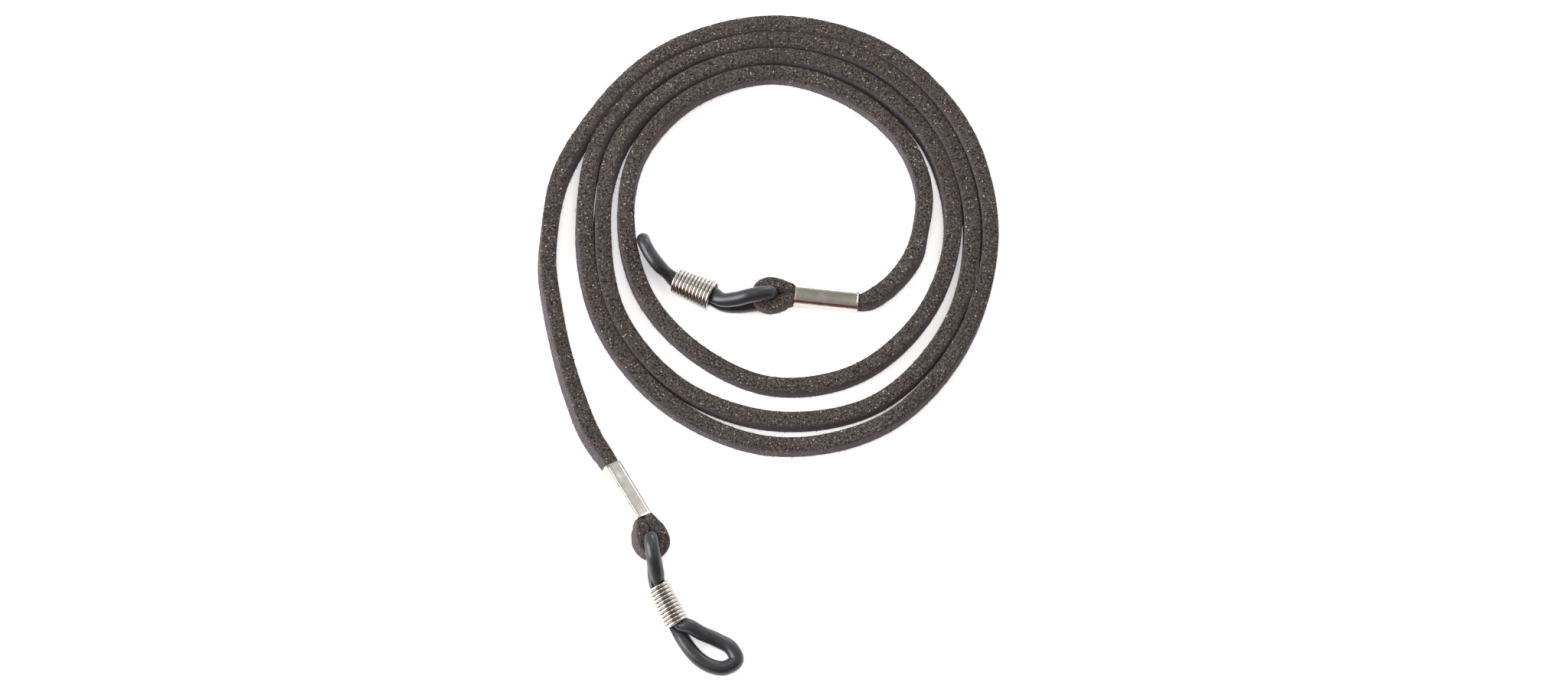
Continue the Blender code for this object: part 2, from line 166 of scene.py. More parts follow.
def fold(end, side):
    """One layer of a folded end, from inside the ferrule out to the far side of the eye."""
    eye_lean = end["lean"] * 1.2
    across = leaned(end["out"], eye_lean)[0] * side
    beside, mouth, pivot, out = end["left"] * side, end["eye_mouth"], end["pivot"], end["out"]
    bend = pivot + out * EYE_SLACK
    ferrule = [end["mouth"] + end["along"] * FOLD_END_INSIDE, mouth - end["along"] * STRAIGHT_OUTSIDE]
    rows = [lace_row(p + beside * LAYER_OFFSET, end["lean"] * side) for p in ferrule]
    for row in rows:
        row[4:] = PRESSED_THICKNESS, PRESSED_WIDTH
    # the layers' thickness grows again past the mouth, and they part in front of the rubber
    for reach, offset, thickness in EYE_LAYERS:
        place = pivot - out * EYE_REACH * reach + across * offset
        if reach > 0.8:
            place[2] = mouth[2]
        rows.append(lace_row(place, eye_lean * side, thickness, EYE_WIDTH))
    rows.append(lace_row(bend + across * EYE_RADIUS, eye_lean * side, EYE_THICKNESS, EYE_WIDTH))
    corner = bend + (out + across) / math.sqrt(2.0) * EYE_RADIUS
    rows.append(lace_row(corner, eye_lean * side * 0.6, EYE_THICKNESS, EYE_WIDTH))
    return rows


def fold_tip(end):
    tip = end["pivot"] + end["out"] * (EYE_SLACK + EYE_RADIUS)
    return [lace_row(tip, 0.0, EYE_THICKNESS, EYE_WIDTH)]


def mouth_rows(end):
    """The lace just outside the ferrule's strap mouth and just inside it, where it is nipped."""
    outside = end["mouth"] - end["along"] * STRAIGHT_OUTSIDE
    inside = end["mouth"] + end["along"] * STRAP_INSIDE
    return [
        lace_row(outside, end["lean"], LACE_THICKNESS + 0.2, LACE_WIDTH - 0.2),
        lace_row(inside, end["lean"], LACE_THICKNESS, PRESSED_WIDTH),
    ]


def lace_route():
    """Rows of x, y, z, lean, thickness and width, from the lace's end in the inner ferrule to the other."""
    inner, outer = ENDS["inner"], ENDS["outer"]
    rows = [*fold(inner, 1), *fold_tip(inner), *reversed(fold(inner, -1)), *reversed(mouth_rows(inner))]
    middle = LACE_WIDTH / 2 + TABLE_GAP
    rows += [lace_row((x, y, middle + lift), lean) for x, y, lift, lean in INNER_LEAD]
    turns = [INNER_TURN]
    for gaps in TURN_GAPS:
        turns.append([inside + TURN_PITCH + gap for inside, gap in zip(turns[-1], gaps)])
    spiral = []
    for k, radius in enumerate(radius for turn in turns for radius in turn):
        lean = TURN_LEANS[k % 12] * (INNER_TURN_LEAN if k < 12 else 1.0)
        spiral.append(lace_row(level(30 * k) * radius + UP * middle, lean))
    spiral[-1][3] = LAST_TURN_LEAN
    spiral.insert(1, lace_row((*FIRST_BEND, middle), TURN_LEANS[0]))
    spiral.insert(-1, lace_row((*LAST_BEND, middle), LAST_BEND_LEAN))
    rows += spiral
    rows += [lace_row((x, y, middle + lift), lean) for x, y, lift, lean in OUTER_LEAD]
    return rows + [*mouth_rows(outer), *fold(outer, 1), *fold_tip(outer), *reversed(fold(outer, -1))]


def smooth_rows(rows, step, closed=False):
    """Rows at an even step along a Catmull-Rom curve through the given ones, by the length of its spans."""
    rows = np.array(rows, float)
    count = len(rows)
    dense = []
    for span in range(count if closed else count - 1):
        around = [span + k for k in (-1, 0, 1, 2)]
        if closed:
            before, first, last, after = (rows[k % count] for k in around)
        else:
            before, first, last, after = (rows[min(max(k, 0), count - 1)] for k in around)
        way = last - first
        steps = ((before, first), (first, last), (last, after))
        into, over, out = (np.linalg.norm((b - a)[:3]) for a, b in steps)
        leave, reach = way, way
        if into:
            leave = way + ((first - before) / into - (last - before) / (into + over)) * over
        if out:
            reach = way + ((after - last) / out - (after - first) / (over + out)) * over
        for t in np.linspace(0.0, 1.0, CURVE_STEPS, endpoint=False):
            curve = first * (2 * t**3 - 3 * t**2 + 1) + leave * (t**3 - 2 * t**2 + t)
            dense.append(curve + last * (3 * t**2 - 2 * t**3) + reach * (t**3 - t**2))
    dense.append(rows[0] if closed else rows[-1])
    dense = np.array(dense)
    along = np.concatenate([[0.0], np.cumsum(np.linalg.norm(np.diff(dense[:, :3], axis=0), axis=1))])
    places = np.linspace(0.0, along[-1], round(along[-1] / step) + 1)
    return np.stack([np.interp(places, along, column) for column in dense.T], axis=1)


def tangents(places, closed=False):
    if closed:
        ways = np.roll(places[:-1], -1, axis=0) - np.roll(places[:-1], 1, axis=0)
        ways = np.concatenate([ways, ways[:1]])
    else:
        ways = np.gradient(places, axis=0)
    return ways / np.linalg.norm(ways, axis=1)[:, None]


def frames_of(ways, leans):
    """Left and over directions for every ring, in rows, with the lean in degrees."""
    left = np.cross(UP, ways)
    left /= np.linalg.norm(left, axis=1)[:, None]
    over = np.cross(ways, left)
    c, s = np.cos(np.radians(leans))[:, None], np.sin(np.radians(leans))[:, None]
    return left * c - over * s, over * c + left * s


def rolled_tube(name, places, closed=False, flat_size=(1.0, 1.0)):
    """A mesh tube from a flat grid that is rolled round its line.

    places[ring, side] are the points, in millimetres from the origin. The grid's own UVs are kept, so the
    map runs flat along the tube and around it, and flat_size is its size in millimetres.
    """
    rings, sides = places.shape[0] - 1, places.shape[1]
    shape = bmesh.new()
    uv = shape.loops.layers.uv.new("UVMap")
    bmesh.ops.create_grid(shape, x_segments=rings, y_segments=sides, size=1.0, calc_uvs=True)
    for vert in shape.verts:
        ring = round((vert.co.x + 1.0) / 2.0 * rings)
        side = round((vert.co.y + 1.0) / 2.0 * sides)
        vert.co = Vector(places[ring, side % sides]) * MM
    for face in shape.faces:
        for loop in face.loops:
            loop[uv].uv = (loop[uv].uv.x * flat_size[0], loop[uv].uv.y * flat_size[1])
    bmesh.ops.remove_doubles(shape, verts=shape.verts[:], dist=1e-7)
    if not closed:
        rims = [edge for edge in shape.edges if edge.is_boundary]
        bmesh.ops.holes_fill(shape, edges=rims, sides=0)
    bmesh.ops.recalc_face_normals(shape, faces=shape.faces[:])
    mesh = bpy.data.meshes.new(name)
    shape.to_mesh(mesh)
    shape.free()
    mesh.shade_smooth()
    piece = bpy.data.objects.new(name, mesh)
    bpy.context.scene.collection.objects.link(piece)
    return piece


def lace_section():
    """The section's points as (left, over, corner left, corner over), once round.

    The first two run from -1 to 1 between the corners' centres, and the last two are the way out from there.
    """
    points = []
    corners = ((1, 1), (1, -1), (-1, -1), (-1, 1))
    for k, (x, y) in enumerate(corners):
        start = math.radians(90 - 90 * k)
        for step in range(3):
            angle = start - math.radians(45) * step
            points.append((x, y, math.cos(angle), math.sin(angle)))
        next_x, next_y = corners[(k + 1) % 4]
        steps = 4 if x == next_x else 3
        for step in range(1, steps):
            share = step / steps
            spot = (x + (next_x - x) * share, y + (next_y - y) * share)
            points.append((*spot, math.cos(angle), math.sin(angle)))
    return np.array(points)


LACE_CORNER = 0.32
FACE_BULGE = 0.06  # of each side between its corners
EDGE_INSET = 0.35  # of the line that a leaning lace stands on, from its side

lace_line = smooth_rows(lace_route(), LACE_RING)
lace_line[:, :3] += SPIRAL_CENTRE
section = lace_section()
lace_length = (len(lace_line) - 1) * LACE_RING

rng = np.random.default_rng(7)


def wander(count, step, period, seed):
    """A smooth random line from about -1 to 1, with one swing in about each period."""
    return np.array([noise.noise(Vector((k * step / period, seed, 0.5))) * 1.6 for k in range(count)])


count = len(lace_line)
lace_line[:, 3] += 2.5 * wander(count, LACE_RING, 38.0, 3.1)
thickness = lace_line[:, 4] * (1 + 0.04 * wander(count, LACE_RING, 11.0, 7.7))
width = lace_line[:, 5] * (1 + 0.025 * wander(count, LACE_RING, 17.0, 12.9))
lean = np.abs(np.radians(lace_line[:, 3]))
lowest = width / 2 * np.cos(lean) + (thickness / 2 - EDGE_INSET) * np.sin(lean) + TABLE_GAP
lace_line[:, 2] = np.maximum(lace_line[:, 2], lowest)
ways = tangents(lace_line[:, :3])
left, over = frames_of(ways, lace_line[:, 3])

across = section[None, :, 0] * (thickness[:, None] / 2 - LACE_CORNER) + section[None, :, 2] * LACE_CORNER
upward = section[None, :, 1] * (width[:, None] / 2 - LACE_CORNER) + section[None, :, 3] * LACE_CORNER
across += section[None, :, 2] * FACE_BULGE * (1 - section[None, :, 1] ** 2)
upward += section[None, :, 3] * FACE_BULGE * (1 - section[None, :, 0] ** 2)
places = lace_line[:, None, :3] + left[:, None] * across[..., None] + over[:, None] * upward[..., None]

# The cut edges are ragged: their corners are pushed in and out by what the blade left.
outward = left[:, None] * section[None, :, 2, None] + over[:, None] * section[None, :, 3, None]
outward /= np.linalg.norm(outward, axis=2)[..., None]
cut_edge = np.clip(np.abs(section[:, 3]) * 1.3 - 0.1, 0.0, 1.0)
for ring in range(count):
    for side in range(len(section)):
        spot = Vector(places[ring, side])
        rough = noise.noise(spot * 1.6) * 0.08 + noise.noise(spot * 4.1) * 0.07
        places[ring, side] += outward[ring, side] * rough * (0.35 + 0.65 * cut_edge[side])

perimeter = 2 * (LACE_THICKNESS + LACE_WIDTH)
lace = rolled_tube("suede_lace", places, flat_size=(lace_length, perimeter))


def linear(colour):
    """An sRGB colour such as "3a3231" as linear red, green, blue and alpha."""
    values = [int(colour[k : k + 2], 16) / 255 for k in (0, 2, 4)]
    return (*[v / 12.92 if v <= 0.04045 else ((v + 0.055) / 1.055) ** 2.4 for v in values], 1.0)


def per(size):
    """The scale of a pattern on Object coordinates whose grains are this many millimetres wide."""
    return 1 / (size * MM)


def new_material(name):
    made = bpy.data.materials.new(name)
    made.use_nodes = True
    return made, made.node_tree.nodes["Principled BSDF"]


def add_node(material, kind, settings, inputs):
    """Adds a node, and sets each input to a value or links it to another node's output."""
    node = material.node_tree.nodes.new(kind)
    for name, value in settings.items():
        setattr(node, name, value)
    for name, value in inputs.items():
        if isinstance(value, bpy.types.NodeSocket):
            material.node_tree.links.new(value, node.inputs[name])
        else:
            node.inputs[name].default_value = value
    return node


# Split suede, dyed dark brown: both faces are sanded to a short, even nap, and the cut edges show the loose
# fibres of the split, so they are rougher and more speckled than the faces. All of it is matt.
suede, suede_shader = new_material("dyed_split_suede")
here = add_node(suede, "ShaderNodeTexCoord", {}, {}).outputs["Object"]
edge = add_node(suede, "ShaderNodeAttribute", {"attribute_name": "cut_edge"}, {}).outputs["Fac"]
grain = add_node(
    suede, "ShaderNodeTexNoise", {}, {"Vector": here, "Scale": per(0.34), "Detail": 4.0, "Roughness": 0.85}
)
grain = add_node(
    suede, "ShaderNodeMapRange", {}, {"Value": grain.outputs["Fac"], "From Min": 0.4, "From Max": 0.62}
)
cut = add_node(
    suede,
    "ShaderNodeMix",
    {"data_type": "RGBA"},
    {"Factor": grain.outputs["Result"], "A": linear("090707"), "B": linear("5c5552")},
)
nap = add_node(suede, "ShaderNodeTexNoise", {}, {"Vector": here, "Scale": per(0.16), "Detail": 2.0})
face = add_node(
    suede,
    "ShaderNodeMix",
    {"data_type": "RGBA"},
    {"Factor": nap.outputs["Fac"], "A": linear("433c40"), "B": linear("584f54")},
)
skin = add_node(
    suede,
    "ShaderNodeMix",
    {"data_type": "RGBA"},
    {"Factor": edge, "A": face.outputs["Result"], "B": cut.outputs["Result"]},
)
flecks = add_node(suede, "ShaderNodeTexNoise", {}, {"Vector": here, "Scale": per(0.24), "Detail": 0.0})
flecks = add_node(
    suede, "ShaderNodeMapRange", {}, {"Value": flecks.outputs["Fac"], "From Min": 0.75, "From Max": 0.81}
)
flecked = add_node(
    suede,
    "ShaderNodeMix",
    {"data_type": "RGBA"},
    {"Factor": flecks.outputs["Result"], "A": skin.outputs["Result"], "B": linear("c4b4ac")},
)
handling = add_node(suede, "ShaderNodeTexNoise", {}, {"Vector": here, "Scale": per(7.0), "Detail": 2.0})
handling = add_node(
    suede, "ShaderNodeMapRange", {}, {"Value": handling.outputs["Fac"], "To Min": 0.78, "To Max": 1.22}
)
toned = add_node(
    suede,
    "ShaderNodeVectorMath",
    {"operation": "SCALE"},
    {"Vector": flecked.outputs["Result"], "Scale": handling.outputs["Result"]},
)
relief = add_node(
    suede,
    "ShaderNodeBump",
    {},
    {"Height": grain.outputs["Result"], "Strength": 0.55, "Distance": 0.08 * MM},
)
suede.node_tree.links.new(toned.outputs["Vector"], suede_shader.inputs["Base Color"])
suede.node_tree.links.new(relief.outputs["Normal"], suede_shader.inputs["Normal"])
suede_shader.inputs["Roughness"].default_value = 0.95
suede_shader.inputs["Specular IOR Level"].default_value = 0.2
suede_shader.inputs["Sheen Weight"].default_value = 0.08
suede_shader.inputs["Sheen Roughness"].default_value = 0.5
suede_shader.inputs["Sheen Tint"].default_value = linear("c9b8b2")

lace.data.materials.append(suede)
edges = lace.data.attributes.new("cut_edge", "FLOAT", "POINT")
ring_at = KDTree(count)
for ring, place in enumerate(lace_line[:, :3] * MM):
    ring_at.insert(place, ring)
ring_at.balance()
for vert in lace.data.vertices:
    ring = ring_at.find(vert.co)[1]
    uprightness = abs(vert.normal.dot(Vector(over[ring])))
    edges.data[vert.index].value = min(max((uprightness - 0.3) / 0.5, 0.0), 1.0)

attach(lace, "lace")
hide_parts("strap", "strap_end_inner", "strap_end_outer")

# Loose fibres stand out along the lace's cut corners, where the blade tore them from the split.

NAP_DOUBLINGS = 13
NAP_LENGTHS = (0.12, 0.5)
NAP_WIDTH = 0.06

fibres = bmesh.new()
fibre_number = fibres.verts.layers.int.new("fibre")
spike = Matrix.Translation((0.0, 0.0, 0.5))
bmesh.ops.create_cone(fibres, cap_ends=True, segments=3, radius1=1.0, radius2=0.0, depth=1.0, matrix=spike)
for doubling in range(NAP_DOUBLINGS):
    whole = fibres.verts[:] + fibres.edges[:] + fibres.faces[:]
    for item in bmesh.ops.duplicate(fibres, geom=whole)["geom"]:
        if isinstance(item, bmesh.types.BMVert):
            item[fibre_number] += 2**doubling
fibre_count = 2**NAP_DOUBLINGS
corner_sides = [k for k, point in enumerate(section) if abs(point[0]) == 1 and abs(point[1]) == 1]
stands = []
for k in range(fibre_count):
    ring = int(rng.integers(4, count - 4))
    side = corner_sides[int(rng.integers(len(corner_sides)))]
    root = Vector(places[ring, side])
    stray = Vector(rng.normal(0.0, 0.45, 3))
    way = (Vector(outward[ring, side]) + stray).normalized()
    length = NAP_LENGTHS[0] + (NAP_LENGTHS[1] - NAP_LENGTHS[0]) * rng.random() ** 3
    stands.append((root - way * 0.04, way, way.orthogonal().normalized(), length))
for vert in fibres.verts:
    root, way, beside, length = stands[vert[fibre_number]]
    third = way.cross(beside)
    offset = beside * vert.co.x * NAP_WIDTH + third * vert.co.y * NAP_WIDTH + way * vert.co.z * length
    vert.co = (root + offset) * MM
bmesh.ops.recalc_face_normals(fibres, faces=fibres.faces[:])
nap_mesh = bpy.data.meshes.new("lace_nap")
fibres.to_mesh(nap_mesh)
fibres.free()
lace_nap = bpy.data.objects.new("lace_nap", nap_mesh)
bpy.context.scene.collection.objects.link(lace_nap)

# The same dyed fibres, loose, painted a little lighter than the cut edges: a painted sheen for loose fibres
# taking the light a little more than the nap that lies flat.
loose_fibre, fibre_shader = new_material("loose_suede_fibre_painted_sheen")
here = add_node(loose_fibre, "ShaderNodeTexCoord", {}, {}).outputs["Object"]
tint = add_node(loose_fibre, "ShaderNodeTexNoise", {}, {"Vector": here, "Scale": per(0.5), "Detail": 1.0})
# dyed brown, made lighter than the cut edge's colour as painted sheen
fibre_colour_with_painted_sheen = add_node(
    loose_fibre,
    "ShaderNodeMix",
    {"data_type": "RGBA"},
    {"Factor": tint.outputs["Fac"], "A": linear("1f1919"), "B": linear("6a5c59")},
)
loose_fibre.node_tree.links.new(fibre_colour_with_painted_sheen.outputs["Result"], fibre_shader.inputs["Base Color"])
fibre_shader.inputs["Roughness"].default_value = 0.9
nap_mesh.materials.append(loose_fibre)
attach(lace_nap, "lace")

# ---------------------------------------------------------------------------------------------------
# The two ferrules are rectangular tubes of thin steel sheet, folded round with a butt seam underneath,
# nickel-plated, and crimped over the two layers of lace, which leaves small marks across the top.

FERRULE_WIDTH, FERRULE_HEIGHT = 3.15, 3.0
FERRULE_WALL = 0.2
FERRULE_CORNER = 0.8
LIP_FLARE = 0.07  # of the mouths, which the crimping leaves a little open
CRIMP_DEPTH = 0.02
CRIMP_REACH = 0.6  # of the dents from the middle of the top, sideways
LIP_SHARE = 0.07  # how much of the half length flares
SEAM_GAP = 0.06
SHEET_EDGE = 0.5  # where the sheet's inner edge shows through the crimp, from the middle of the top
SHEET_EDGE_HALF = 0.07
RINGS_ALONG = 61
RIM_ROUND = 0.045


def nickel_plate(name, roughness, scratch_strength):
    """Bright nickel over steel: slightly yellow, mirror-like, with fine handling scratches."""
    metal, shader = new_material(name)
    place = add_node(metal, "ShaderNodeTexCoord", {}, {}).outputs["Object"]
    haze = add_node(metal, "ShaderNodeTexNoise", {}, {"Vector": place, "Scale": per(1.4), "Detail": 4.0})
    plate = add_node(
        metal,
        "ShaderNodeMix",
        {"data_type": "RGBA"},
        {"Factor": haze.outputs["Fac"], "A": linear("bbb7b0"), "B": linear("d0ccc7")},
    )
    dull = add_node(
        metal,
        "ShaderNodeMapRange",
        {},
        {
            "Value": haze.outputs["Fac"],
            "From Min": 0.35,
            "From Max": 0.7,
            "To Min": roughness * 0.75,
            "To Max": roughness * 1.5,
        },
    )
    scuffs = add_node(metal, "ShaderNodeTexNoise", {}, {"Vector": place, "Scale": per(0.35), "Detail": 3.0})
    relief = add_node(
        metal,
        "ShaderNodeBump",
        {},
        {"Height": scuffs.outputs["Fac"], "Strength": scratch_strength, "Distance": 0.02 * MM},
    )
    metal.node_tree.links.new(plate.outputs["Result"], shader.inputs["Base Color"])
    metal.node_tree.links.new(dull.outputs["Result"], shader.inputs["Roughness"])
    metal.node_tree.links.new(relief.outputs["Normal"], shader.inputs["Normal"])
    shader.inputs["Metallic"].default_value = 1.0
    return metal


ferrule_plate = nickel_plate("nickel_plated_sheet", 0.2, 0.5)

for which, end in ENDS.items():
    shell = bmesh.new()
    size = Matrix.Diagonal((FERRULE_WIDTH, FERRULE_HEIGHT, FERRULE_LENGTH, 1.0))
    bmesh.ops.create_cube(shell, size=1.0, matrix=size)
    mouths = [f for f in shell.faces if abs(f.normal.z) > 0.9]
    bmesh.ops.delete(shell, geom=mouths, context="FACES_ONLY")
    corners = [e for e in shell.edges if abs(e.verts[0].co.z - e.verts[1].co.z) > FERRULE_LENGTH / 2]
    bmesh.ops.bevel(
        shell,
        geom=corners,
        offset=FERRULE_CORNER,
        segments=6,
        profile=0.5,
        affect="EDGES",
        material=-1,
    )
    for cut in np.linspace(-FERRULE_LENGTH / 2, FERRULE_LENGTH / 2, RINGS_ALONG + 1)[1:-1]:
        everything = shell.verts[:] + shell.edges[:] + shell.faces[:]
        bmesh.ops.bisect_plane(shell, geom=everything, plane_co=(0, 0, cut), plane_no=(0, 0, 1))
    sheet_edge = SHEET_EDGE if which == "outer" else -SHEET_EDGE
    for cut in (-0.25, 0.0, 0.25, sheet_edge - SHEET_EDGE_HALF, sheet_edge, sheet_edge + SHEET_EDGE_HALF):
        everything = shell.verts[:] + shell.edges[:] + shell.faces[:]
        bmesh.ops.bisect_plane(shell, geom=everything, plane_co=(cut, 0, 0), plane_no=(1, 0, 0))
    # the seam underneath
    seam = [e for e in shell.edges if all(abs(v.co.x) < 1e-4 and v.co.y < 0 for v in e.verts)]
    bmesh.ops.split_edges(shell, edges=seam)
    for vert in shell.verts:
        if abs(vert.co.x) < 1e-4 and vert.co.y < 0:
            beside = sum((f.calc_center_median().x for f in vert.link_faces)) > 0
            vert.co.x = SEAM_GAP / 2 if beside else -SEAM_GAP / 2
    for vert in shell.verts:
        share = abs(vert.co.z) / (FERRULE_LENGTH / 2)
        flare = LIP_FLARE * max(0.0, (share - 0.93) / LIP_SHARE) ** 2
        radial = Vector((vert.co.x, vert.co.y, 0.0)).normalized()
        vert.co += radial * flare
        if vert.co.y > FERRULE_HEIGHT / 2 - 0.1:
            across_share = 1 - min(abs(vert.co.x) / CRIMP_REACH, 1.0) ** 2
            dents = noise.noise(Vector((vert.co.x * 0.5, 3.7, vert.co.z * 0.9)))
            ticks = max(noise.noise(Vector((0.3, 9.1, vert.co.z * 4.5))), 0.0)
            depth = across_share * (1 - share**6) * (0.7 + 0.4 * dents)
            depth += ticks * (abs(vert.co.x + 0.1) < 0.3)
            vert.co.y -= CRIMP_DEPTH * (depth + 0.5 * (abs(vert.co.x - sheet_edge) < 0.02))
    turned = Matrix(np.array((end["left"], end["over"], end["along"])).T.tolist()).to_4x4()
    middle = (end["mouth"] + end["eye_mouth"]) / 2 + SPIRAL_CENTRE
    shell.transform(Matrix.Scale(MM, 4) @ Matrix.Translation(middle) @ turned)
    mesh = bpy.data.meshes.new(f"ferrule_sleeve_{which}")
    shell.to_mesh(mesh)
    shell.free()
    mesh.shade_smooth()
    mesh.materials.append(ferrule_plate)
    sleeve = bpy.data.objects.new(mesh.name, mesh)
    bpy.context.scene.collection.objects.link(sleeve)
    wall = sleeve.modifiers.new("sheet", "SOLIDIFY")
    wall.thickness = FERRULE_WALL * MM
    wall.offset = -1.0
    rim = sleeve.modifiers.new("rim", "BEVEL")
    rim.width = RIM_ROUND * MM
    rim.segments = 2
    rim.limit_method = "ANGLE"
    rim.angle_limit = math.radians(50)
    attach(sleeve, "lace")
    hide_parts(f"ferrule_{which}")

# ---------------------------------------------------------------------------------------------------
# Each rubber loop is one ring of round black rubber cord: through the eye of the lace, over and under its
# end, pressed together in the spring, and open again as the loop that the temple of the glasses goes through.

RUBBER_DIAMETER = 2.3
RUBBER_RADIUS = RUBBER_DIAMETER / 2
LEG_RISE = 2.6  # of a leg over or under the eye's middle
STRAND_GAP = 0.05
SPRING_LENGTH = 6.405
MEETING, PARTING = 1.7, 1.8  # of the strands before and past their spring
PAIR_OVER, PAIR_BESIDE = 0.87, 0.5  # how the strands of a spread loop lie to each other in their spring
LEG_SIDEWAYS = {1: 0.55, -1: 0.3}  # of the same strands where they meet
SQUEEZED = 0.35  # how far outside the spring they are still squeezed
RUBBER_RING = 0.3
RUBBER_SIDES = 22

# The loop's points are (heading, distance, lift) from the spiral's centre on the inner end, and (x, y, lift)
# from the eye on the outer one.
ENDS["inner"].update(
    spring_start=np.array((-8.95, -11.25, 3.0)),
    spring_heading=154.0,
    spring_drop=0.7,
    legs_beside=False,
    loop_thinner=0.17,
    strand=((0.85, 1.3), (0.66, 1.08)),  # half a strand's width at each end: towards the other, and across
    leg_shift=(0.0, -0.8, 0.0),
    exits={1: (0.15, 0.2, 0.0), -1: (0.35, 0.45, 0.0)},
    loop=(
        (201.6, 18.48, 3.05),
        (194.6, 19.3, 3.4),
        (188.4, 19.85, 3.1),
        (185.6, 19.95, 1.7),
        (188.2, 19.6, 0.5),
        (194.6, 18.7, 0.05),
    ),
)
ENDS["outer"].update(
    spring_start=ENDS["outer"]["pivot"] * (1, 1, 0) + (1.25, -7.1, 3.35),
    spring_heading=-62.8,
    spring_drop=1.1,
    legs_beside=True,
    loop_thinner=0.0,
    strand=((0.62, 1.05), (0.74, 1.15)),
    leg_shift=(0.0, 0.0, 0.0),
    exits={1: (0.3, 0.85, 0.0), -1: (0.35, 0.0, 0.0)},
    loop=(
        (7.95, -14.3, 0.8),
        (10.3, -15.2, 0.1),
        (12.5, -16.5, 0.02),
        (13.3, -18.3, 0.0),
        (11.45, -19.6, 0.0),
        (9.4, -19.3, 0.0),
        (7.7, -18.3, 0.0),
        (6.1, -16.6, 0.0),
    ),
)
for end in ENDS.values():
    run = math.sqrt(SPRING_LENGTH**2 - end["spring_drop"] ** 2)
    end["spring_along"] = (level(end["spring_heading"]) * run - UP * end["spring_drop"]) / SPRING_LENGTH


def rubber_rows(which, end):
    """Rows of x, y, z, half width towards the other strand and half width across, once round the ring."""
    pivot, start, along = end["pivot"], end["spring_start"], end["spring_along"]
    way = (start - pivot) * (1, 1, 0)
    way /= np.linalg.norm(way)
    beside = np.cross(UP, along)
    beside /= np.linalg.norm(beside)
    pair = np.cross(along, beside)
    if end["legs_beside"]:
        pair = pair * PAIR_OVER + beside * PAIR_BESIDE
    bend = RUBBER_RADIUS + STRAND_GAP
    full = RUBBER_RADIUS + STRAND_GAP / 2
    eye_end = EYE_SLACK + EYE_RADIUS + EYE_THICKNESS / 2
    on_table = RUBBER_RADIUS + 2 * TABLE_GAP
    end["pair"] = pair
    shift = np.array(end["leg_shift"])

    def row(place, narrow=RUBBER_RADIUS, wide=RUBBER_RADIUS):
        return np.array((*place, narrow, wide))

    def strand(side):
        height = UP * LEG_RISE * side
        corner = way * bend * 0.3 + UP * (LEG_RISE - bend * 0.3) * side
        leg_end = pivot + way * (eye_end + 0.2) + height + shift
        meeting = start - along * MEETING + np.cross(along, beside) * full * side + shift * 0.3
        if end["legs_beside"]:
            meeting += beside * LEG_SIDEWAYS[side]
        rows = [
            row(pivot + UP * (LEG_RISE - bend) * side),
            row(pivot + corner + shift * 0.2),
            row(pivot + way * bend + height + shift * 0.5),
            row(leg_end),
            row((leg_end + meeting) / 2 + shift * 0.3),
            row(meeting, RUBBER_RADIUS * 0.97),
        ]
        for place in (-SQUEEZED, 2.0, SPRING_LENGTH - 2.0, SPRING_LENGTH + SQUEEZED):
            narrow, wide = (a + (b - a) * place / SPRING_LENGTH for a, b in zip(*end["strand"]))
            rows.append(row(start + along * place + pair * (narrow + STRAND_GAP / 2) * side, narrow, wide))
        after = start + along * (SPRING_LENGTH + PARTING) + pair * full * side + end["exits"][side]
        after[2] = max(after[2], on_table)
        thinner = RUBBER_RADIUS - end["loop_thinner"]
        rows.append(row(after, thinner, thinner))
        return rows

    loop = []
    radius = RUBBER_RADIUS - end["loop_thinner"] * 0.6
    for a, b, lift in end["loop"]:
        place = pivot * (1, 1, 0) + (a, b, 0) if which == "outer" else level(a) * b
        loop.append(row(place + UP * (on_table + lift), radius, radius))
    return [row(pivot), *strand(1), *loop, *reversed(strand(-1))]


# Black natural rubber, extruded as a smooth round cord: satin, with a faint grey bloom and dust on it.
black_rubber, rubber_shader = new_material("extruded_black_rubber")
here = add_node(black_rubber, "ShaderNodeTexCoord", {}, {}).outputs["Object"]
bloom = add_node(black_rubber, "ShaderNodeTexNoise", {}, {"Vector": here, "Scale": per(2.2), "Detail": 3.0})
bloomed = add_node(
    black_rubber,
    "ShaderNodeMix",
    {"data_type": "RGBA"},
    {"Factor": bloom.outputs["Fac"], "A": linear("1a1b1f"), "B": linear("2a2c31")},
)
dust = add_node(black_rubber, "ShaderNodeTexNoise", {}, {"Vector": here, "Scale": per(0.22), "Detail": 1.0})
dust = add_node(
    black_rubber, "ShaderNodeMapRange", {}, {"Value": dust.outputs["Fac"], "From Min": 0.76, "From Max": 0.8}
)
dusted = add_node(
    black_rubber,
    "ShaderNodeMix",
    {"data_type": "RGBA"},
    {"Factor": dust.outputs["Result"], "A": bloomed.outputs["Result"], "B": linear("8a8d90")},
)
satin = add_node(
    black_rubber,
    "ShaderNodeMapRange",
    {},
    {"Value": bloom.outputs["Fac"], "From Min": 0.3, "From Max": 0.7, "To Min": 0.27, "To Max": 0.4},
)
skin_noise = add_node(
    black_rubber, "ShaderNodeTexNoise", {}, {"Vector": here, "Scale": per(0.3), "Detail": 2.0}
)
relief = add_node(
    black_rubber,
    "ShaderNodeBump",
    {},
    {"Height": skin_noise.outputs["Fac"], "Strength": 0.12, "Distance": 0.03 * MM},
)
black_rubber.node_tree.links.new(dusted.outputs["Result"], rubber_shader.inputs["Base Color"])
black_rubber.node_tree.links.new(satin.outputs["Result"], rubber_shader.inputs["Roughness"])
black_rubber.node_tree.links.new(relief.outputs["Normal"], rubber_shader.inputs["Normal"])
rubber_shader.inputs["IOR"].default_value = 1.52


